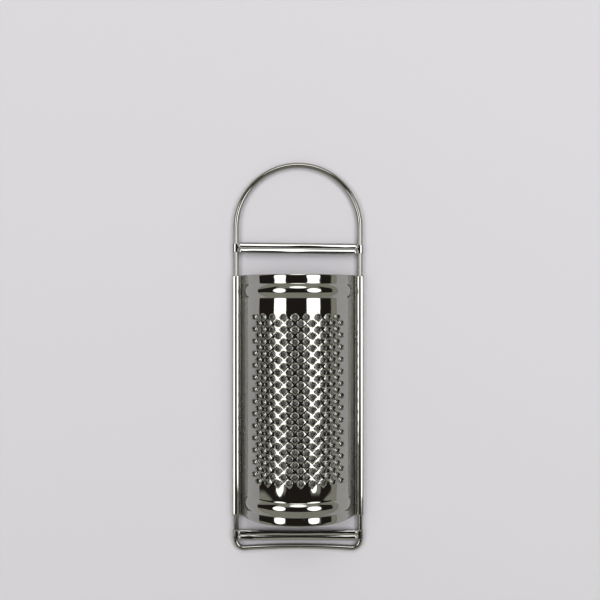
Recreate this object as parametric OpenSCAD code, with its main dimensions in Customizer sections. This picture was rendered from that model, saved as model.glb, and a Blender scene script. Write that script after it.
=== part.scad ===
// Rasp grater for nutmeg and hard cheese. A half-round sheet of raised teeth is rolled along both
// edges round the legs of a bent wire frame, and a pressed crossbar holds the legs apart at each end.
// It lies on its rolled edges with the crown of the sheet up (+Z) and the handle towards +Y.

/* [Wire frame] */
// Overall length, from the top of the handle to the outside of the foot
frame_l = 144; // [136:1:160]
// Distance between the centres of the two legs
leg_spacing = 46; // [42:0.5:50]
// Diameter of the wire
wire_d = 2; // [1.6:0.1:2.4]
// Bend radius of the two foot corners, at the centre of the wire
foot_bend_r = 3; // [2:0.25:3.5]
// How far the middle of the foot bar is bowed in towards the sheet
foot_bow = 0.7; // [0.3:0.1:1]
// Gap between the two ends of the wire, inside the left roll
wire_end_gap = 0.4; // [0.2:0.1:1]

/* [Grating sheet] */
// Thickness of the sheet
sheet_t = 0.3; // [0.25:0.05:0.45]
// Distance from the outside of the foot to the lower end of the sheet
sheet_from_foot = 13.3; // [12:0.1:14]
// Distance from the upper end of the sheet to the middle of the handle crossbar
sheet_from_bar = 10; // [7:0.1:14]
// Height of the barrel's axis above the centre of the wires
barrel_lift = -1.2; // [-1.5:0.1:-0.5]
// Angle from the crown at which each side of the barrel runs on straight
flank_angle = 72; // [70:0.5:73]
// Radius of the hollow corner between a straight side and the edge rolled round the leg
corner_r = 0.7; // [0.5:0.05:0.9]
// Angle from the top of a rolled edge down to where the hollow corner meets it
meet_angle = 73.5; // [60:0.5:80]
// Angle that each edge of the sheet is rolled round its leg, counted from the top of the leg
roll_sweep = 240; // [180:5:250]

/* [Stiffening beads] */
// Width of the raised bead near each end of the sheet
bead_w = 5; // [4:0.25:6]
// Height of the bead above the barrel
bead_h = 0.9; // [0.6:0.1:1.2]
// Distance from the end of the sheet to the middle of its bead
bead_inset = 5.8; // [5:0.1:7]
// Angle from the crown to each end of a bead
bead_reach = 66; // [50:1:70]

/* [Teeth] */
// Distance between teeth in one row, measured round the barrel
tooth_pitch_round = 4.1; // [3.8:0.02:5]
// Distance between rows of teeth, measured along the barrel
tooth_pitch_along = 4.33; // [4:0.01:5]
// Angle of the barrel that the teeth cover
tooth_angle = 104; // [80:2:116]
// Least distance from the end of the sheet to the centre of a tooth
tooth_margin = 15; // [13:0.25:20]
// Diameter of a tooth's open rim
tooth_rim_d = 1.8; // [1.4:0.05:1.85]
// Thickness of a tooth's wall at its rim
tooth_rim_t = 0.1; // [0.05:0.01:0.15]
// Height of a tooth above the barrel
tooth_h = 1; // [0.6:0.05:1.3]

/* [Crossbars] */
// Distance from the centre of the handle's arch to the middle of the handle crossbar
handle_bar_drop = 7.9; // [6:0.1:9]
// Distance from the outside of the foot to the middle of the foot crossbar
foot_bar_from_foot = 6.1; // [6:0.1:8]
// Thickness of the crossbars' strip
bar_t = 0.3; // [0.25:0.05:0.45]
// Height of the two ribs pressed along a crossbar, above its underside
rib_h = 0.9; // [0.7:0.05:1.1]
// Outer radius of each rib
rib_r = 1.2; // [1.15:0.05:1.4]
// Distance between the centre lines of the two ribs
rib_spacing = 1.8; // [1.5:0.05:2]
// Width of the tongue at each end of a crossbar
tongue_w = 3.2; // [2.4:0.1:3.6]
// Angle that each tongue is curled round its leg
tongue_sweep = 250; // [200:5:280]

/* [Hidden] */

// Clearance between a leg and what is rolled round it
grip_gap = 0.03;
// Width left at each side of a tooth's foot on its flat
foot_margin = 0.01;
// Where two stretches of one piece meet, one runs this far into the other, and is this much slimmer
joint_lap = 0.05;
joint_step = 0.01;
// How far the flats under the teeth stand above the barrel
flat_rise = 0.005;
// How far cuts run past what they cut
overrun = 0.5;
round_fn = 48;
barrel_fn = 144;

// Frame: the wires lie as low as the thicker of the two strips rolled under them allows
wire_r = wire_d / 2;
grip_r = wire_r + grip_gap;
wire_z = grip_r + max(sheet_t, bar_t);
leg_x = leg_spacing / 2;
frame_foot = -frame_l / 2;
arch_y = frame_l / 2 - wire_r - leg_x;
corner_x = leg_x - foot_bend_r;
corner_y = frame_foot + wire_r + foot_bend_r;

// Foot bar: an arc that meets the corner bends in a tangent, its centre far beyond the foot
bow_reach = foot_bow / 2 + corner_x * corner_x / (2 * foot_bow);
bow_r = bow_reach - foot_bend_r;
bow_angle = asin(corner_x / bow_reach);
bow_y = corner_y - bow_reach * cos(bow_angle);
bow_lap = joint_lap / bow_r * 180 / PI;

// Sheet: it fills the length between its distances from the foot and from the handle crossbar
handle_bar_y = arch_y - handle_bar_drop;
sheet_low = frame_foot + sheet_from_foot;
sheet_l = handle_bar_y - sheet_from_bar - sheet_low;
sheet_mid = sheet_low + sheet_l / 2;

// Its barrel, straight sides, hollow corners and rolled edges meet in tangents
barrel_z = wire_z + barrel_lift;
roll_r = grip_r + sheet_t;
flank_dir = [sin(flank_angle), cos(flank_angle)];
hollow = [leg_x, wire_z] + (corner_r + roll_r) * [-sin(meet_angle), cos(meet_angle)];
barrel_r = flank_dir * (hollow - [0, barrel_z]) - corner_r;

// Beads: a ring of round section, sunk so that bead_h of it shows bead_w wide
bead_r = (bead_w * bead_w / 4 + bead_h * bead_h) / (2 * bead_h);
bead_ring_r = barrel_r + bead_h - bead_r;
bead_y = sheet_l / 2 - bead_inset;
// Share of the sheet's thickness that a bead's underside is sunk into the barrel
bead_floor_share = 2 / 3;

// Teeth: every other column is shifted by half a pitch, and each column stands on a narrow flat
column_pitch = tooth_pitch_round / 2;
tooth_foot_d = column_pitch - 2 * foot_margin;
column_angle = column_pitch / barrel_r * 180 / PI;
columns = floor(tooth_angle / column_angle) + 1;
rows = floor((sheet_l - 2 * tooth_margin) / tooth_pitch_along - 1 / 2) + 1;
field_l = (rows - 1 / 2) * tooth_pitch_along;
tooth_hole_d = tooth_rim_d - 2 * tooth_rim_t;
tooth_sink = sheet_t / 2;

// Crossbars: the ribs end just short of the leg's centre
bar_z = wire_z + grip_r;
rib_sink = rib_r - rib_h;
rib_foot = sqrt(rib_r * rib_r - rib_sink * rib_sink);
rib_end_x = leg_x - grip_r - rib_foot / 2;

// Draws its children's outline in the plane of X and Z, and gives it a length along Y
module along_legs(length) {
    rotate([90, 0, 0]) linear_extrude(height = length, center = true) children();
}

// A bend of round section in the plane of the frame, from the angle start on through sweep
module bend(bend_r, r, start, sweep, facets) {
    rotate([0, 0, start]) rotate_extrude(angle = sweep, $fn = facets)
        translate([bend_r, 0]) circle(r = r, $fn = round_fn);
}

// Outline of a strip rolled round the right leg, from the leg's top over its outer side
module curl_outline(t, sweep) {
    open = 360 - sweep;
    far = 3 * (grip_r + t);
    translate([leg_x, wire_z]) difference() {
        circle(r = grip_r + t, $fn = round_fn);
        circle(r = grip_r, $fn = round_fn);
        polygon([
            [0, 0], [0, far],
            far * [-sin(open / 2), cos(open / 2)], far * [-sin(open), cos(open)]
        ]);
    }
}

// One wire: arch, two legs, two corner bends and the bowed foot bar, its ends meeting in the left roll
module wire_frame() {
    color("silver") difference() {
        translate([0, 0, wire_z]) {
            translate([0, arch_y, 0]) bend(leg_x, wire_r, 0, 180, barrel_fn);
            for (side = [0, 1]) mirror([side, 0, 0]) {
                translate([leg_x, corner_y - joint_lap, 0]) rotate([-90, 0, 0])
                    cylinder(h = arch_y - corner_y + 2 * joint_lap, r = wire_r - joint_step, $fn = round_fn);
                translate([corner_x, corner_y, 0])
                    bend(foot_bend_r, wire_r, -90 - bow_angle, 90 + bow_angle, round_fn);
            }
            translate([0, bow_y, 0])
                bend(bow_r, wire_r - joint_step, 90 - bow_angle - bow_lap, 2 * (bow_angle + bow_lap), barrel_fn);
        }
        translate([-leg_x - wire_d, sheet_mid - wire_end_gap / 2, 0])
            cube([2 * wire_d, wire_end_gap, wire_z + wire_d]);
    }
}

// Outline of all that lies under the sheet between the legs, its top surface moved in by inset
module under_sheet(inset) {
    difference() {
        union() {
            translate([0, barrel_z]) circle(r = barrel_r - inset, $fn = barrel_fn);
            for (side = [0, 1]) mirror([side, 0]) {
                polygon([
                    [0, barrel_z], [0, barrel_z] + (barrel_r - inset - joint_step) * flank_dir,
                    hollow - (corner_r + inset) * flank_dir, hollow, [leg_x, wire_z],
                    [leg_x, -barrel_r], [0, -barrel_r]
                ]);
                intersection() {
                    translate([leg_x, wire_z]) circle(r = roll_r - inset, $fn = round_fn);
                    translate([leg_x - roll_r, wire_z]) square(roll_r);
                }
            }
        }
        for (side = [0, 1]) mirror([side, 0]) translate(hollow)
            circle(r = corner_r + inset + joint_step, $fn = round_fn);
    }
}

// Cross-section of the sheet: barrel, straight sides, hollow corners and the two rolled edges
module sheet_outline() {
    difference() {
        under_sheet(0);
        under_sheet(sheet_t);
    }
    for (side = [0, 1]) mirror([side, 0]) curl_outline(sheet_t, roll_sweep);
}

// Half or all of the bead's section of radius r, from the distance floor_r to the barrel's axis outwards
module bead_section(r, floor_r, whole) {
    intersection() {
        circle(r = r, $fn = round_fn);
        translate([floor_r - bead_ring_r, whole ? -r : 0]) square([2 * r, whole ? 2 * r : r]);
    }
}

// A bead over the crown with domed ends
module bead(r, floor_r) {
    translate([0, 0, barrel_z]) {
        rotate([90, 0, 0]) rotate([0, 0, 90 - bead_reach])
            rotate_extrude(angle = 2 * bead_reach, $fn = barrel_fn)
                translate([bead_ring_r, 0]) bead_section(r, floor_r, true);
        for (turn = [-bead_reach, bead_reach]) rotate([0, turn, 0]) translate([0, 0, bead_ring_r])
            rotate_extrude($fn = round_fn) rotate(90) mirror([0, 1])
                bead_section(r - joint_step, floor_r, false);
    }
}

// Fan of flats round the barrel's axis: one for each column of teeth and one more at each side
module flats_outline(apothem) {
    translate([0, barrel_z]) polygon(concat([[0, 0]], [
        for (edge = [-1 : columns + 1])
            let (turn = (edge - columns / 2) * column_angle)
            apothem / cos(column_angle / 2) * [sin(turn), cos(turn)]
    ]));
}

// Puts its children at each tooth, with Z pointing out of the barrel from the flat's surface
module at_teeth() {
    for (column = [0 : columns - 1], row = [0 : rows - 1]) {
        turn = (column - (columns - 1) / 2) * column_angle;
        along = field_l / 2 - (row + (column % 2) / 2) * tooth_pitch_along;
        translate([0, along, barrel_z]) rotate([0, turn, 0])
            translate([0, 0, barrel_r + flat_rise]) children();
    }
}

module tooth_body() {
    translate([0, 0, -tooth_sink]) cylinder(
        h = tooth_sink + tooth_h,
        d1 = tooth_foot_d,
        d2 = tooth_rim_d,
        $fn = round_fn
    );
}

module tooth_hole() {
    translate([0, 0, -sheet_t - overrun])
        cylinder(h = sheet_t + tooth_h + 2 * overrun, d = tooth_hole_d, $fn = round_fn);
}

// The sheet before its teeth are punched: a bead near each end, edges rolled round the legs
module rolled_sheet() {
    difference() {
        union() {
            along_legs(sheet_l) sheet_outline();
            along_legs(field_l + tooth_pitch_along) difference() {
                flats_outline(barrel_r + flat_rise);
                translate([0, barrel_z]) circle(r = barrel_r - sheet_t / 2, $fn = barrel_fn);
            }
            for (end = [-1, 1]) translate([0, end * bead_y, 0])
                bead(bead_r, barrel_r - bead_floor_share * sheet_t);
        }
        along_legs(field_l + tooth_pitch_along) flats_outline(barrel_r + flat_rise - sheet_t);
        for (end = [-1, 1]) translate([0, end * bead_y, 0])
            bead(bead_r - sheet_t, barrel_r - sheet_t - overrun);
    }
}

// The sheet is one pressed piece, and its teeth are punched out of it
module grater_sheet() {
    color("gainsboro") translate([0, sheet_mid, 0]) difference() {
        union() {
            rolled_sheet();
            at_teeth() tooth_body();
        }
        at_teeth() tooth_hole();
    }
}

// Two bars with ball ends side by side, their axes below the strip's underside
module ribs(r) {
    for (side = [-1, 1]) translate([0, side * rib_spacing / 2, -rib_sink]) {
        rotate([0, 90, 0]) cylinder(h = 2 * rib_end_x, r = r, center = true, $fn = round_fn);
        for (end = [-1, 1]) translate([end * rib_end_x, 0, 0]) sphere(r = r - joint_step, $fn = round_fn);
    }
}

// A pressed strip across the tops of both legs, with a tongue at each end curled under the leg
module crossbar() {
    translate([0, 0, bar_z]) difference() {
        union() {
            ribs(rib_r);
            for (side = [0, 1]) mirror([side, 0, 0])
                translate([rib_end_x, -tongue_w / 2, 0]) cube([leg_x - rib_end_x, tongue_w, bar_t]);
        }
        ribs(rib_r - bar_t);
        translate([-leg_x - overrun, -rib_spacing - rib_r, -2 * rib_r])
            cube([2 * leg_x + 2 * overrun, 2 * rib_spacing + 2 * rib_r, 2 * rib_r]);
    }
    for (side = [0, 1]) mirror([side, 0, 0]) along_legs(tongue_w) curl_outline(bar_t, tongue_sweep);
}

module handle_crossbar() {
    color("silver") translate([0, handle_bar_y, 0]) crossbar();
}

module foot_crossbar() {
    color("silver") translate([0, frame_foot + foot_bar_from_foot, 0]) crossbar();
}

wire_frame();
grater_sheet();
handle_crossbar();
foot_crossbar();
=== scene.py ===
import math

import bmesh
import bpy
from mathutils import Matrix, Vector


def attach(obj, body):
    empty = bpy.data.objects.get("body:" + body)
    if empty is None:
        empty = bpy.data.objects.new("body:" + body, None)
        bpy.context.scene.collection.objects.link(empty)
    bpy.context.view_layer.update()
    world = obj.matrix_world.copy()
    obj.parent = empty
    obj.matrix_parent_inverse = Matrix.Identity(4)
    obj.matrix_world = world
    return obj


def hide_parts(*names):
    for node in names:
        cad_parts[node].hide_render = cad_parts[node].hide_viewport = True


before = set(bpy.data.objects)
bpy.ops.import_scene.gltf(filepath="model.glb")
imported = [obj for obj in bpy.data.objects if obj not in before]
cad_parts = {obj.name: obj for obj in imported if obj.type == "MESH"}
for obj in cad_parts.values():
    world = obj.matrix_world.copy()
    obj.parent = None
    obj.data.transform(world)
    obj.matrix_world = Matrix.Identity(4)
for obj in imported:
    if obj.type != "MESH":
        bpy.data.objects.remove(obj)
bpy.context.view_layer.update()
mm = 0.001

# Camera. It looks straight down from 333 mm above the wires, a little nearer the handle than the
# middle of the grater, with the handle at the top of the picture.
lens_data = bpy.data.cameras.new("Camera")
lens_data.sensor_width = 36
lens_data.lens = 53.8
lens_data.clip_start = 0.01
camera = bpy.data.objects.new("Camera", lens_data)
camera.location = (0.74 * mm, 21 * mm, 334.3 * mm)
bpy.context.scene.collection.objects.link(camera)
bpy.context.scene.camera = camera
bpy.context.scene.view_settings.view_transform = "Standard"


# Wire frame. One length of bright drawn stainless wire, bent into the handle's arch, two legs, two
# foot corners and a foot bar that bows in a little. Its cut ends meet inside the left rolled edge.
wire_radius = 1 * mm
wire_height = 1.33 * mm
leg_x = 23 * mm
arch_y = 48 * mm
corner_bend = 3 * mm
corner_y = -68 * mm
bar_bow = 0.7 * mm
sheet_middle = -14.3 * mm
end_gap = 0.4 * mm
corner_steps, bow_steps, arch_steps = 14, 24, 90
wire_colour = (0.36, 0.35, 0.33)


class Link:
    """A socket in a node tree. Sums on it add Math nodes, and node() adds any other node.

    node() takes a node's type, its settings and the values or links of its sockets, with a list
    for a socket that takes several links. It gives the new node's first output, or the one that is
    asked for, and other() is another output of the same node.
    """

    def __init__(self, tree, socket=None):
        self.tree, self.socket = tree, socket

    def node(self, kind, settings=(), inputs=(), output=0):
        made = self.tree.nodes.new(kind)
        for name, value in dict(settings).items():
            setattr(made, name, value)
        for name, value in dict(inputs).items():
            for one in value if isinstance(value, list) else [value]:
                if isinstance(one, Link):
                    self.tree.links.new(one.socket, made.inputs[name])
                else:
                    made.inputs[name].default_value = one
        return Link(self.tree, made.outputs[output] if len(made.outputs) else None)

    def other(self, output):
        return Link(self.tree, self.socket.node.outputs[output])

    def math(self, operation, *values):
        return self.node("ShaderNodeMath", {"operation": operation}, enumerate(values))

    def __add__(self, value):
        return self.math("ADD", self, value)

    __radd__ = __add__

    def __sub__(self, value):
        return self.math("SUBTRACT", self, value)

    def __rsub__(self, value):
        return self.math("SUBTRACT", value, self)

    def __mul__(self, value):
        return self.math("MULTIPLY", self, value)

    __rmul__ = __mul__

    def __truediv__(self, value):
        return self.math("DIVIDE", self, value)

    def scaled(self, share):
        inputs = {"Vector": self, "Scale": share}
        return self.node("ShaderNodeVectorMath", {"operation": "SCALE"}, inputs)

    def smooth(self, low, high):
        """0 below low, 1 above high, eased between."""
        return self.node(
            "ShaderNodeMapRange",
            {"interpolation_type": "SMOOTHSTEP"},
            {"Value": self, "From Min": low, "From Max": high},
        )

    def mixed(self, colour, other_colour):
        """From one colour at 0 to the other at 1."""
        return self.node(
            "ShaderNodeMix",
            {"data_type": "RGBA", "clamp_factor": True},
            {0: self, 6: (*colour, 1), 7: (*other_colour, 1)},
            2,
        )


def geometry_tree(name, inputs):
    """A new Geometry Nodes tree with named inputs, and a link to the first of them."""
    tree = bpy.data.node_groups.new(name, "GeometryNodeTree")
    tree.interface.new_socket("Geometry", in_out="INPUT", socket_type="NodeSocketGeometry")
    tree.interface.new_socket("Geometry", in_out="OUTPUT", socket_type="NodeSocketGeometry")
    for label, kind in inputs.items():
        tree.interface.new_socket(label, in_out="INPUT", socket_type="NodeSocket" + kind)
    return tree, Link(tree).node("NodeGroupInput")


def finish_tree(shape, finish):
    """Ends a tree: real geometry, smooth, in one material."""
    shape = shape.node("GeometryNodeRealizeInstances", (), {"Geometry": shape})
    shape = shape.node("GeometryNodeSetShadeSmooth", (), {"Geometry": shape})
    shape = shape.node("GeometryNodeSetMaterial", (), {"Geometry": shape, "Material": finish})
    shape.node("NodeGroupOutput", (), {"Geometry": shape})


def plain_mesh(thing):
    """Turns a piece's evaluated shape into its own mesh and takes its modifiers off."""
    shape = thing.evaluated_get(bpy.context.evaluated_depsgraph_get())
    thing.data = bpy.data.meshes.new_from_object(shape)
    thing.modifiers.clear()


def grow(thing, tree, values):
    """Runs a tree on a piece with these input values and keeps the result as a plain mesh."""
    step = thing.modifiers.new(tree.name, "NODES")
    step.node_group = tree
    for item in tree.interface.items_tree:
        if item.in_out == "INPUT" and item.name in values:
            step[item.identifier] = values[item.name]
    plain_mesh(thing)


def new_piece(name, points, faces=(), edges=()):
    """A new object at the origin with this mesh."""
    mesh = bpy.data.meshes.new(name)
    mesh.from_pydata(points, edges, faces)
    thing = bpy.data.objects.new(name, mesh)
    bpy.context.scene.collection.objects.link(thing)
    return thing


def steel(name, colour, rough, grain_turn=(0, 0, 0), torn_and_shaded_name=None):
    """Bright stainless steel: fine grain, a faint haze and small nicks from handling.

    The grain runs along Y where it isn't turned. Only the sheet names an attribute that says where
    it is torn: there the steel is rougher and its colour darker, partly duller torn metal and
    partly painted shade inside the craters. The sheet's low sides are duller than the rest of it.
    """
    finish = bpy.data.materials.new(name)
    finish.use_nodes = True
    tree = finish.node_tree
    shader = tree.nodes["Principled BSDF"]
    shader.inputs["Metallic"].default_value = 1
    start = Link(tree)
    place = start.node("ShaderNodeTexCoord").other("Object")

    def noise(spot, scale, detail):
        inputs = {"Vector": spot, "Scale": scale, "Detail": detail}
        return start.node("ShaderNodeTexNoise", (), inputs)

    def drawn_out(turn, stretch):
        inputs = {"Vector": place, "Rotation": turn, "Scale": (1, stretch, 1)}
        return start.node("ShaderNodeMapping", (), inputs)

    haze = noise(place, 90.0, 3.0)
    grain = noise(drawn_out(grain_turn, 0.04), 5200.0, 2.0)
    nicks = noise(drawn_out((0.2, 0.1, 0.8), 0.05), 1400.0, 1.0)
    marks = nicks.smooth(0.68, 0.78) * haze.smooth(0.42, 0.6)
    roughness = rough + 0.05 * haze.smooth(0.4, 0.75) + 0.12 * marks
    tint = 0.12 * haze.smooth(0.3, 0.7)
    if torn_and_shaded_name:
        x = place.node("ShaderNodeSeparateXYZ", (), {"Vector": place})
        z = x.other("Z")
        dull_to, rolls_from = (6 * mm, 9.5 * mm), (21.3 * mm, 21.7 * mm)
        dull = (1 - z.smooth(*dull_to)) * (1 - x.math("ABSOLUTE", x).smooth(*rolls_from))
        torn = start.node("ShaderNodeAttribute", {"attribute_name": torn_and_shaded_name}, (), "Fac")
        roughness = roughness + 0.24 * dull + 0.16 * torn
        # The torn share also darkens the colour: partly duller torn metal, partly painted shade
        # inside the craters
        tint = tint + torn
    mixed = tint.mixed(colour, [0.4 * part for part in colour])
    relief = {"Strength": 0.02, "Distance": 0.02 * mm, "Height": 0.6 * grain + 0.8 * marks}
    bump = start.node("ShaderNodeBump", (), relief)
    tree.links.new(mixed.socket, shader.inputs["Base Color"])
    tree.links.new(roughness.socket, shader.inputs["Roughness"])
    tree.links.new(bump.socket, shader.inputs["Normal"])
    return finish


def arc(centre, radius, start, end, count):
    """Points along an arc in the plane of the wires, its angles in degrees."""
    turns = [math.radians(start + (end - start) * step / count) for step in range(count + 1)]
    x, y = centre
    return [(x + radius * math.cos(t), y + radius * math.sin(t), wire_height) for t in turns]


corner_x = leg_x - corner_bend
bow_reach = bar_bow / 2 + corner_x**2 / (2 * bar_bow)
bow_turn = math.degrees(math.asin(corner_x / bow_reach))
bow_y = corner_y - bow_reach * math.cos(math.radians(bow_turn))
route = [(-leg_x, sheet_middle - end_gap / 2, wire_height)]
route += arc((-corner_x, corner_y), corner_bend, 180, 270 + bow_turn, corner_steps)
bow = arc((0, bow_y), bow_reach - corner_bend, 90 + bow_turn, 90 - bow_turn, bow_steps)
route += bow[1:-1]
route += arc((corner_x, corner_y), corner_bend, -90 - bow_turn, 0, corner_steps)
route += arc((0, arch_y), leg_x, 0, 180, arch_steps)
route += [(-leg_x, sheet_middle + end_gap / 2, wire_height)]

wire = new_piece("bent_wire", route, edges=[(n, n + 1) for n in range(len(route) - 1)])
wire_steel = steel("drawn_wire_steel", wire_colour, rough=0.05)
tree, given = geometry_tree("Bent wire", {"Wire radius": "Float", "Facets": "Int"})
path = given.node("GeometryNodeMeshToCurve", (), {"Mesh": given.other("Geometry")})
ring = given.node(
    "GeometryNodeCurvePrimitiveCircle",
    (),
    {"Radius": given.other("Wire radius"), "Resolution": given.other("Facets")},
)
swept = {"Curve": path, "Profile Curve": ring, "Fill Caps": True}
rod = given.node("GeometryNodeCurveToMesh", (), swept)
finish_tree(rod, wire_steel)
grow(wire, tree, {"Wire radius": wire_radius, "Facets": 32})
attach(wire, "root")
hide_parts("wire_frame")


# Grating sheet. One pressed stainless sheet, 0.3 mm thick: a round barrel with two beads across it,
# and straight sides that turn up in a tight hollow corner and are rolled round the legs. The teeth
# are craters that a punch tears open from inside, in columns shifted by half a pitch.
sheet_length = 88.8 * mm
sheet_thickness = 0.3 * mm
sheet_colour = (0.38, 0.38, 0.355)
flank_turn = math.radians(65.3)
meet_turn = math.radians(73.5)
roll_turn = math.radians(240)
roll_radius = wire_height
# The press leaves each roll a little square. It swells from its top to facet_turn and runs flat
# to a shoulder, roll_shoulder of its radius further out, that eases back in over shoulder_turn.
roll_swell = 0.162
facet_turn = math.radians(16.5)
roll_shoulder = 0.11
shoulder_turn = 0.3
hollow_radius = 0.3 * mm
barrel_lift = -1.2 * mm
barrel_axis = wire_height + barrel_lift
hollow_x = leg_x - (hollow_radius + roll_radius) * math.sin(meet_turn)
hollow_z = wire_height + (hollow_radius + roll_radius) * math.cos(meet_turn)
hollow_lift = hollow_z - barrel_axis
barrel_radius = math.sin(flank_turn) * hollow_x + math.cos(flank_turn) * hollow_lift - hollow_radius
flank_length = math.cos(flank_turn) * hollow_x - math.sin(flank_turn) * hollow_lift
barrel_end = barrel_radius * flank_turn
flank_end = barrel_end + flank_length
hollow_end = flank_end + hollow_radius * (flank_turn + meet_turn)
roll_end = hollow_end + roll_radius * (meet_turn + roll_turn)
sheet_end = sheet_length / 2
bead_width = 5 * mm
bead_height = 0.9 * mm
bead_inset = 5.8 * mm
bead_radius = (bead_width**2 / 4 + bead_height**2) / (2 * bead_height)
bead_middle = sheet_end - bead_inset
bead_end = barrel_radius * math.radians(66)
bead_foot = 0.09 * mm
bead_fall = 0.8
bead_valley = 0.34 * mm
valley_sides = (18 * mm, 26 * mm)
end_flare = 0.04
edge_droop = 0.1 * mm
droop_length = 1.2 * mm
edge_round = 0.07 * mm
columns = 18
rows = 14
column_pitch = 2.05 * mm
row_pitch = 4.33 * mm
half_row = row_pitch / 2
teeth_side = (columns + 1) / 2 * column_pitch
teeth_end = (2 * rows + 1) / 4 * row_pitch
tooth_foot = 1.41 * mm
tooth_rim = 0.98 * mm
tooth_height = 0.92 * mm
wavy_from = (3 * mm, 8 * mm)
weld = 0.002 * mm


def eased(low, high, value):
    """0 below low, 1 above high, eased between."""
    share = min(max((value - low) / (high - low), 0), 1)
    return share * share * (3 - 2 * share)


def section(around):
    """X and Z of the sheet's outer face at a distance round it, and its outward direction."""
    side = math.copysign(1, around)
    far = abs(around)
    if far < flank_end:
        turn = min(far / barrel_radius, flank_turn)
        past = max(far - barrel_end, 0)
        x = barrel_radius * math.sin(turn) + past * math.cos(turn)
        z = barrel_axis + barrel_radius * math.cos(turn) - past * math.sin(turn)
    elif far < hollow_end:
        turn = flank_turn - (far - flank_end) / hollow_radius
        x = hollow_x - hollow_radius * math.sin(turn)
        z = hollow_z - hollow_radius * math.cos(turn)
    else:
        turn = (far - hollow_end) / roll_radius - meet_turn
        reach = roll_radius
        if abs(turn) < meet_turn:
            crown = 1 + roll_swell * min(abs(turn), facet_turn) ** 2
            shoulder = 1 + roll_shoulder * min(1, (meet_turn - abs(turn)) / shoulder_turn)
            reach *= min(crown / math.cos(max(abs(turn) - facet_turn, 0)), shoulder)
        x = leg_x + reach * math.sin(turn)
        z = wire_height + reach * math.cos(turn)
    return side * x, z, side * math.sin(turn), math.cos(turn)


def pressed(around, along):
    """How far pressing moves the sheet outwards at this place.

    It presses the beads, a shallow valley before and behind each, and ends that flare and droop.
    """
    reach = math.hypot(max(abs(around) - bead_end, 0), abs(along) - bead_middle)
    crest = math.sqrt(max(bead_radius**2 - reach**2, 0)) - (bead_radius - bead_height)
    if reach > bead_width / 2:
        crest = (bead_width / 2 - reach) * bead_fall
    out = (crest + math.hypot(crest, bead_foot)) / 2
    inner = 1 - eased(*valley_sides, abs(around))
    gap = max(abs(abs(along) - bead_middle), bead_width / 2)
    out -= bead_valley * inner * max(1 - gap / (bead_middle - teeth_end), 0) ** 2
    out += end_flare * inner * max(abs(along) - (bead_middle + bead_width / 2), 0)
    out -= edge_droop * inner * eased(sheet_end - droop_length, sheet_end, abs(along))
    return out


def on_sheet(around, along, depth=0.0):
    """A point of the sheet, at this depth below its outer face."""
    x, z, out_x, out_z = section(around)
    out = pressed(around, along) - depth
    return Vector((x + out * out_x, sheet_middle + along, z + out * out_z))


def spread(low, high, count):
    """Places at even steps from low to high, both included."""
    return [low + (high - low) * step / count for step in range(count + 1)]


def mirrored(middle_lines, side_lines):
    """Lines from end to end: the side's mirrored, the middle's, and the side's as they are."""
    return [-line for line in reversed(side_lines)] + middle_lines + side_lines


# Lines round the sheet: fine in the hollow corners and on the rolls, half a column over the teeth
side_lines = spread(teeth_side, barrel_end, 6)[1:] + spread(barrel_end, flank_end, 10)[1:]
side_lines += spread(flank_end, hollow_end, 12)[1:] + spread(hollow_end, roll_end, 76)[1:]
around_lines = mirrored(spread(-teeth_side, teeth_side, 2 * (columns + 1)), side_lines)
first_tooth_line = len(side_lines)

# Lines along it: every half row over the teeth, closer on the plain strip past them and on the
# end strip, and closest across the bead between these
plain_strip = 4 * mm
end_strip = 2.6 * mm
before_bead = teeth_end + plain_strip
past_bead = sheet_end - end_strip
end_lines = spread(teeth_end, before_bead, 9)[1:] + spread(before_bead, past_bead, 26)[1:]
end_lines += spread(past_bead, sheet_end - edge_round, 7)[1:]
along_lines = mirrored(spread(-teeth_end, teeth_end, 2 * rows + 1), end_lines)
stations = [(along, 0) for along in along_lines]
stations += [(sheet_end, edge_round), (sheet_end, sheet_thickness - edge_round)]
stations += [(along, sheet_thickness) for along in reversed(along_lines)]
stations += [(-sheet_end, sheet_thickness - edge_round), (-sheet_end, edge_round)]

shell = bmesh.new()
grid = [[shell.verts.new(on_sheet(around, *at)) for at in stations] for around in around_lines]


def over_teeth(column, station):
    """Does the cell between these lines lie where the teeth are, on either face?"""
    if not first_tooth_line <= column < first_tooth_line + 2 * (columns + 1):
        return False
    ends = [stations[station], stations[(station + 1) % len(stations)]]
    faces = (0, sheet_thickness)
    return all(abs(along) < teeth_end + 1e-6 and depth in faces for along, depth in ends)


for column in range(len(around_lines) - 1):
    here, beside = grid[column], grid[column + 1]
    for station in range(len(stations)):
        if not over_teeth(column, station):
            after = (station + 1) % len(stations)
            shell.faces.new((here[station], beside[station], beside[after], here[after]))

# The sheet's two long edges, inside the rolls, are closed by a strip with a nose at either end
for column in (0, -1):
    half = len(along_lines)
    for station in range(half - 1):
        facing = len(stations) - 3 - station
        rim = [grid[column][n] for n in (station, station + 1, facing - 1, facing)]
        shell.faces.new(rim if column == 0 else rim[::-1])
    for first in (half - 1, len(stations) - 3):
        nose = [grid[column][(first + n) % len(stations)] for n in range(4)]
        shell.faces.new(nose if column == 0 else nose[::-1])


def plain_cells(depth):
    """Untoothed half cells that square off the zigzag edge of the toothed field."""
    last_i, last_j = columns + 1, 2 * rows + 1
    for i in range(last_i + 1):
        for j in range(last_j + 1):
            if (i + j) % 2 == 0 or (0 < i < last_i and 0 < j < last_j):
                continue
            for turn, (di, dj) in enumerate([(1, 1), (-1, 1), (-1, -1), (1, -1)]):
                if not (0 <= i + di <= last_i and 0 <= j + dj <= last_j):
                    continue
                site, side, end = Vector((i, j)), Vector((i + di, j)), Vector((i, j + dj))
                corners = [site, (site + side) / 2, side, (side + end) / 2, end]
                if (turn % 2 == 0) != (depth == 0):
                    corners.reverse()
                face = []
                for x, y in corners:
                    place = on_sheet(x * column_pitch - teeth_side, y * half_row - teeth_end, depth)
                    face.append(shell.verts.new(place))
                shell.faces.new(face)


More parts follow.
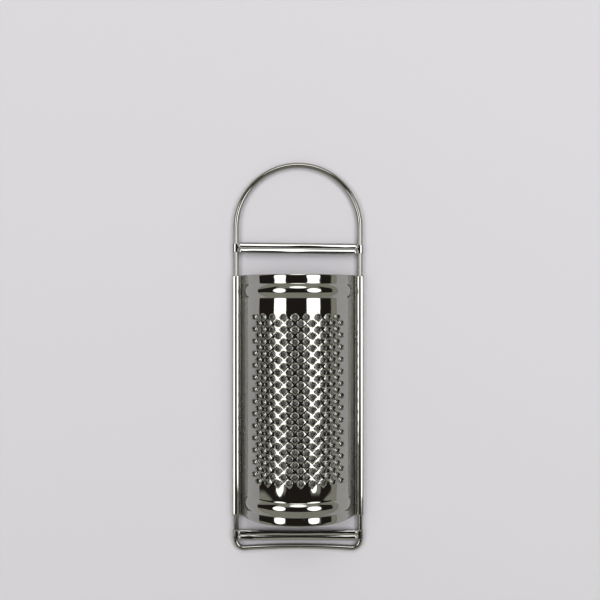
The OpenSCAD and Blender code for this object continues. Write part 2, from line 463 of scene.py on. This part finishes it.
plain_cells(0)
plain_cells(sheet_thickness)
bmesh.ops.remove_doubles(shell, verts=shell.verts, dist=weld)
bmesh.ops.recalc_face_normals(shell, faces=shell.faces)
sheet = new_piece("toothed_sheet", [])
shell.to_mesh(sheet.data)
shell.free()

# One tooth on its diamond of sheet, laid flat: a flared crater with a torn rim, open underneath.
# Each ring has its radius, its height and how torn it is, and no radius means the diamond's edge.
# How torn it is also darkens the steel there, most in the throat and underneath: painted shade
# inside the crater as well as duller torn metal.
tooth_sides = 8
diamond = [(1, 0), (0.5, 0.5), (0, 1), (-0.5, 0.5), (-1, 0), (-0.5, -0.5), (0, -1), (0.5, -0.5)]
tooth_rings = [
    (None, 0, 0),
    (tooth_foot, 0, 0),
    (1.16 * mm, 0.12 * mm, 0),
    (1.02 * mm, tooth_height - 0.1 * mm, 0),
    (tooth_rim, tooth_height, 0.1),
    (0.88 * mm, tooth_height - 0.03 * mm, 0.8),
    (0.58 * mm, 0.1 * mm, 1),
    (0.7 * mm, -sheet_thickness, 0.8),
    (None, -sheet_thickness, 0),
]
points, torn = [], []
for radius, height, tear_and_shade in tooth_rings:
    for n in range(tooth_sides):
        if radius is None:
            x, y = column_pitch * diamond[n][0], half_row * diamond[n][1]
        else:
            turn = 2 * math.pi * n / tooth_sides
            x, y = radius * math.cos(turn), radius * math.sin(turn)
        points.append((x, y, height))
        torn.append(tear_and_shade)
faces = []
for low in range(0, tooth_sides * (len(tooth_rings) - 1), tooth_sides):
    high = low + tooth_sides
    for n in range(tooth_sides):
        after = (n + 1) % tooth_sides
        faces.append((low + n, low + after, high + after, high + n))
tooth = new_piece("punched_tooth", points, faces)
# The torn share is kept as an attribute; the steel's colour is darker by it, painted shade inside
# the crater as well as duller torn metal
tooth.data.attributes.new("torn", "FLOAT", "POINT").data.foreach_set("value", torn)

sheet_steel = steel("polished_sheet_steel", sheet_colour, rough=0.03, torn_and_shaded_name="torn")
tree, given = geometry_tree(
    "Punched teeth",
    {
        "Tooth": "Object",
        "Columns": "Int",
        "Rows": "Int",
        "Column pitch": "Float",
        "Row pitch": "Float",
        "Barrel radius": "Float",
        "Barrel axis": "Float",
        "Middle": "Float",
        "Tear": "Float",
        "Waviness": "Float",
        "Seed": "Int",
    },
)

# The teeth stand on two flat grids, half a pitch apart and shifted along by half a row
pitch, row_gap = given.other("Column pitch"), given.other("Row pitch")
half_columns = given.other("Columns") / 2
fields = []
for side in (-1, 1):
    lattice = given.node(
        "GeometryNodeMeshGrid",
        (),
        {
            "Vertices X": half_columns,
            "Vertices Y": given.other("Rows"),
            "Size X": (half_columns - 1) * pitch * 2,
            "Size Y": (given.other("Rows") - 1) * row_gap,
        },
    )
    half_steps = {"X": pitch * (0.5 * side), "Y": row_gap * (-0.25 * side)}
    shift = given.node("ShaderNodeCombineXYZ", (), half_steps)
    moved = {"Geometry": lattice, "Translation": shift}
    fields.append(given.node("GeometryNodeTransform", (), moved))
lattice = given.node("GeometryNodeJoinGeometry", (), {"Geometry": fields})
one_tooth = given.node("GeometryNodeObjectInfo", (), {"Object": given.other("Tooth")})
one_tooth = one_tooth.other("Geometry")
teeth = given.node("GeometryNodeInstanceOnPoints", (), {"Points": lattice, "Instance": one_tooth})
teeth = given.node("GeometryNodeRealizeInstances", (), {"Geometry": teeth})
teeth = given.node("GeometryNodeMergeByDistance", (), {"Geometry": teeth, "Distance": weld})

# Their rims are torn unevenly, and then the flat field is bent round the barrel
share = given.node("GeometryNodeInputNamedAttribute", {"data_type": "FLOAT"}, {"Name": "torn"})
chance = given.node(
    "FunctionNodeRandomValue",
    {"data_type": "FLOAT_VECTOR"},
    {"Min": (-1, -1, -1), "Max": (1, 1, 1), "Seed": given.other("Seed")},
)
ragged = chance.scaled(share * given.other("Tear"))
teeth = given.node("GeometryNodeSetPosition", (), {"Geometry": teeth, "Offset": ragged})
spot = given.node("GeometryNodeInputPosition")
x = given.node("ShaderNodeSeparateXYZ", (), {"Vector": spot})
y, z = x.other("Y"), x.other("Z")
turn = x / given.other("Barrel radius")
reach = z + given.other("Barrel radius")
bent = given.node(
    "ShaderNodeCombineXYZ",
    (),
    {
        "X": reach * turn.math("SINE", turn),
        "Y": y + given.other("Middle"),
        "Z": reach * turn.math("COSINE", turn) + given.other("Barrel axis"),
    },
)
teeth = given.node("GeometryNodeSetPosition", (), {"Geometry": teeth, "Position": bent})

# Joined to the sheet, which waves a little out and in
both = {"Geometry": [given.other("Geometry"), teeth]}
whole = given.node("GeometryNodeJoinGeometry", (), both)
whole = given.node("GeometryNodeMergeByDistance", (), {"Geometry": whole, "Distance": 2 * weld})
waves = given.node("ShaderNodeTexNoise", (), {"Vector": spot, "Scale": 55.0, "Detail": 0.0})
swell = (waves - 0.5) * given.other("Waviness") * z.smooth(*wavy_from)
from_axis = {"X": x, "Z": z - given.other("Barrel axis")}
outward = given.node("ShaderNodeCombineXYZ", (), from_axis)
outward = given.node("ShaderNodeVectorMath", {"operation": "NORMALIZE"}, {0: outward})
push = outward.scaled(swell)
whole = given.node("GeometryNodeSetPosition", (), {"Geometry": whole, "Offset": push})
finish_tree(whole, sheet_steel)
grow(
    sheet,
    tree,
    {
        "Tooth": tooth,
        "Columns": columns,
        "Rows": rows,
        "Column pitch": column_pitch,
        "Row pitch": row_pitch,
        "Barrel radius": barrel_radius,
        "Barrel axis": barrel_axis,
        "Middle": sheet_middle,
        "Tear": 0.06 * mm,
        "Waviness": 0.12 * mm,
        "Seed": 7,
    },
)
bpy.data.objects.remove(tooth)
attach(sheet, "root")
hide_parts("grater_sheet")


# Crossbars. Two pressed stainless strips lie across the legs, one under the handle and one above
# the foot. Two ribs stiffen each, and at both ends a flat tongue is curled by hand round the leg.
handle_bar_y = 40.1 * mm
foot_bar_y = -65.9 * mm
bar_thickness = 0.3 * mm
bar_colour = (0.46, 0.46, 0.45)
bar_rise = 1.03 * mm
bar_height = wire_height + bar_rise
rib_radius = 1.2 * mm
rib_offset = 0.9 * mm
rib_sink = 0.3 * mm
rib_square = 2.6
rib_foot = rib_offset + math.sqrt(rib_radius**2 - rib_sink**2)
rib_end = 21.39 * mm
rib_nose = 0.4 * mm
fine_from = 20.4 * mm
narrowing = (20.8 * mm, 22.6 * mm)
crease = 0.12 * mm
dent_width = 0.5
tongue_width = 3.2 * mm
curl_radius = 1.33 * mm
curl_turn = math.radians(250)
bar_steel = steel("pressed_strip_steel", bar_colour, rough=0.05, grain_turn=(0, 0, math.pi / 2))


def crossbar(name, node, middle, tilt, lean, dents):
    """A strip of two ribs from leg to leg with a curled tongue at each end.

    It is tilted in the plane of the wires and leans to the handle. Each dent has its place in X and
    Y, its length along the strip and its depth, all in mm as dent_width is.
    """
    lines = spread(0, fine_from, 40) + spread(fine_from, leg_x, 16)[1:]
    lines += [leg_x + curl_radius * turn for turn in spread(0, curl_turn, 20)[1:]]
    lines = mirrored(lines[:1], lines[1:])
    across = 28
    points, faces = [], []
    for line in lines:
        far, side = abs(line), math.copysign(1, line)
        past = max(far - rib_end + rib_nose, 0)
        ribbed = 1 - eased(*narrowing, far)
        half = tongue_width / 2 + (rib_foot - tongue_width / 2) * ribbed
        for y in spread(-half, half, across):
            reach = math.hypot(abs(y) - rib_offset, past) / rib_radius
            crest = rib_radius * max(1 - reach**rib_square, 0) ** (1 / rib_square) - rib_sink
            rib = (crest + bar_thickness + math.hypot(crest - bar_thickness, crease)) / 2
            rib = rib * (1 - ribbed) + (max(crest, 0) - y * lean) * ribbed
            for x_dent, y_dent, size, depth in dents:
                gap = math.hypot((line / mm - x_dent) / size, (y / mm - y_dent) / dent_width)
                rib -= depth * mm * math.exp(-gap * gap)
            turn = max(far - leg_x, 0) / curl_radius
            out = rib - bar_thickness
            x = leg_x + (curl_radius + out) * math.sin(turn) if turn else far
            z = wire_height + (curl_radius + out) * math.cos(turn) if turn else bar_height + rib
            points.append((side * x, middle + y - side * x * tilt, z))
    for row in range(len(lines) - 1):
        for n in range(across):
            at = row * (across + 1) + n
            faces.append((at, at + across + 1, at + across + 2, at + 1))
    bar = new_piece(name, points, faces)
    bar.data.shade_smooth()
    wall = bar.modifiers.new("Strip thickness", "SOLIDIFY")
    wall.thickness, wall.offset = bar_thickness, -1
    bar.data.materials.append(bar_steel)
    plain_mesh(bar)
    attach(bar, "root")
    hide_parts(node)


handle_dents = [
    (-1.7, -0.9, 5, 0.08),
    (3.4, 0.6, 6, 0.06),
    (17.5, 0.9, 1.6, 0.05),
    (-19.5, -0.4, 1.2, 0.07),
]
foot_dents = [
    (-20.2, 0.9, 1.1, 0.16),
    (-18.4, -0.5, 1.4, 0.1),
    (-16.4, 1.1, 1, 0.09),
    (-17.2, -1.1, 1.8, 0.09),
    (-8, 0.1, 2.4, 0.05),
    (0, -1.5, 13, 0.12),
    (8, 0.2, 2, 0.05),
    (13.6, 0.1, 1.4, 0.06),
    (18, 0.2, 1.2, 0.07),
]
crossbar("handle_strip", "handle_crossbar", handle_bar_y, tilt=0.012, lean=0.2, dents=handle_dents)
crossbar("foot_strip", "foot_crossbar", foot_bar_y, tilt=0.0, lean=0.04, dents=foot_dents)


# Studio. A plain pale floor, two soft boxes left and right of the camera and a third beyond the
# handle, with dark walls between and beyond them, which give polished steel its black and white
# bands.
floor_reach = 3
floor_colour = (0.79, 0.772, 0.83, 1)
corners = [(-floor_reach, -floor_reach), (floor_reach, -floor_reach)]
corners += [(floor_reach, floor_reach), (-floor_reach, floor_reach)]
floor = new_piece("floor", [(x, y, 0) for x, y in corners], [(0, 1, 2, 3)])
paper = bpy.data.materials.new("pale_paper")
paper.use_nodes = True
paper.node_tree.nodes["Principled BSDF"].inputs["Base Color"].default_value = floor_colour
paper.node_tree.nodes["Principled BSDF"].inputs["Roughness"].default_value = 0.9
floor.data.materials.append(paper)

box_height = 0.8
for name, left, right, near, far, power in [
    ("left soft box", -1.0, -0.37, -0.34, 0.42, 3.6),
    ("right soft box", 0.26, 0.86, -0.28, 0.44, 3.6),
    ("rear soft box", -0.28, 0.28, 0.36, 0.85, 1.9),
]:
    lamp = bpy.data.lights.new(name, "AREA")
    lamp.shape = "ELLIPSE"
    lamp.size, lamp.size_y = right - left, far - near
    lamp.energy = power
    lamp_object = bpy.data.objects.new(name, lamp)
    lamp_object.location = ((left + right) / 2, (near + far) / 2, box_height)
    bpy.context.scene.collection.objects.link(lamp_object)

world = bpy.data.worlds.new("Studio walls")
world.use_nodes = True
bpy.context.scene.world = world
tree = world.node_tree
pale_wall, dark_wall = (0.46, 0.46, 0.4), (0.03, 0.024, 0.022)
# Where each wall begins and ends: tilt is from straight up to either side, in radians, and endways
# is how far a direction points to the handle
toward = Link(tree).node("ShaderNodeTexCoord").other("Generated")
x = toward.node("ShaderNodeSeparateXYZ", (), {"Vector": toward})
endways, z = x.other("Y"), x.other("Z")
tilt = x.math("ARCTAN2", x.math("ABSOLUTE", x), z)
rightward_tilt = x.math("ARCTAN2", x, z)
side_wall = tilt.smooth(0.8, 0.88)
overhead = (1 - tilt.smooth(0.42, 0.5)) * (1 - endways.smooth(0.38, 0.44))
front_wall = (endways - tilt.smooth(0.6, 1.4) * 0.115).smooth(-0.37, -0.32)
rear_wall = 1 - (endways + tilt * 0.75).smooth(1.28, 1.38)
right_wall = 1 - rightward_tilt.smooth(1.27, 1.35)
gap_wall = 1 - endways.smooth(-0.28, -0.22)
dark = (side_wall + overhead + gap_wall) * front_wall * rear_wall * right_wall
wall = dark.mixed(pale_wall, dark_wall)
tree.links.new(wall.socket, tree.nodes["Background"].inputs["Color"])
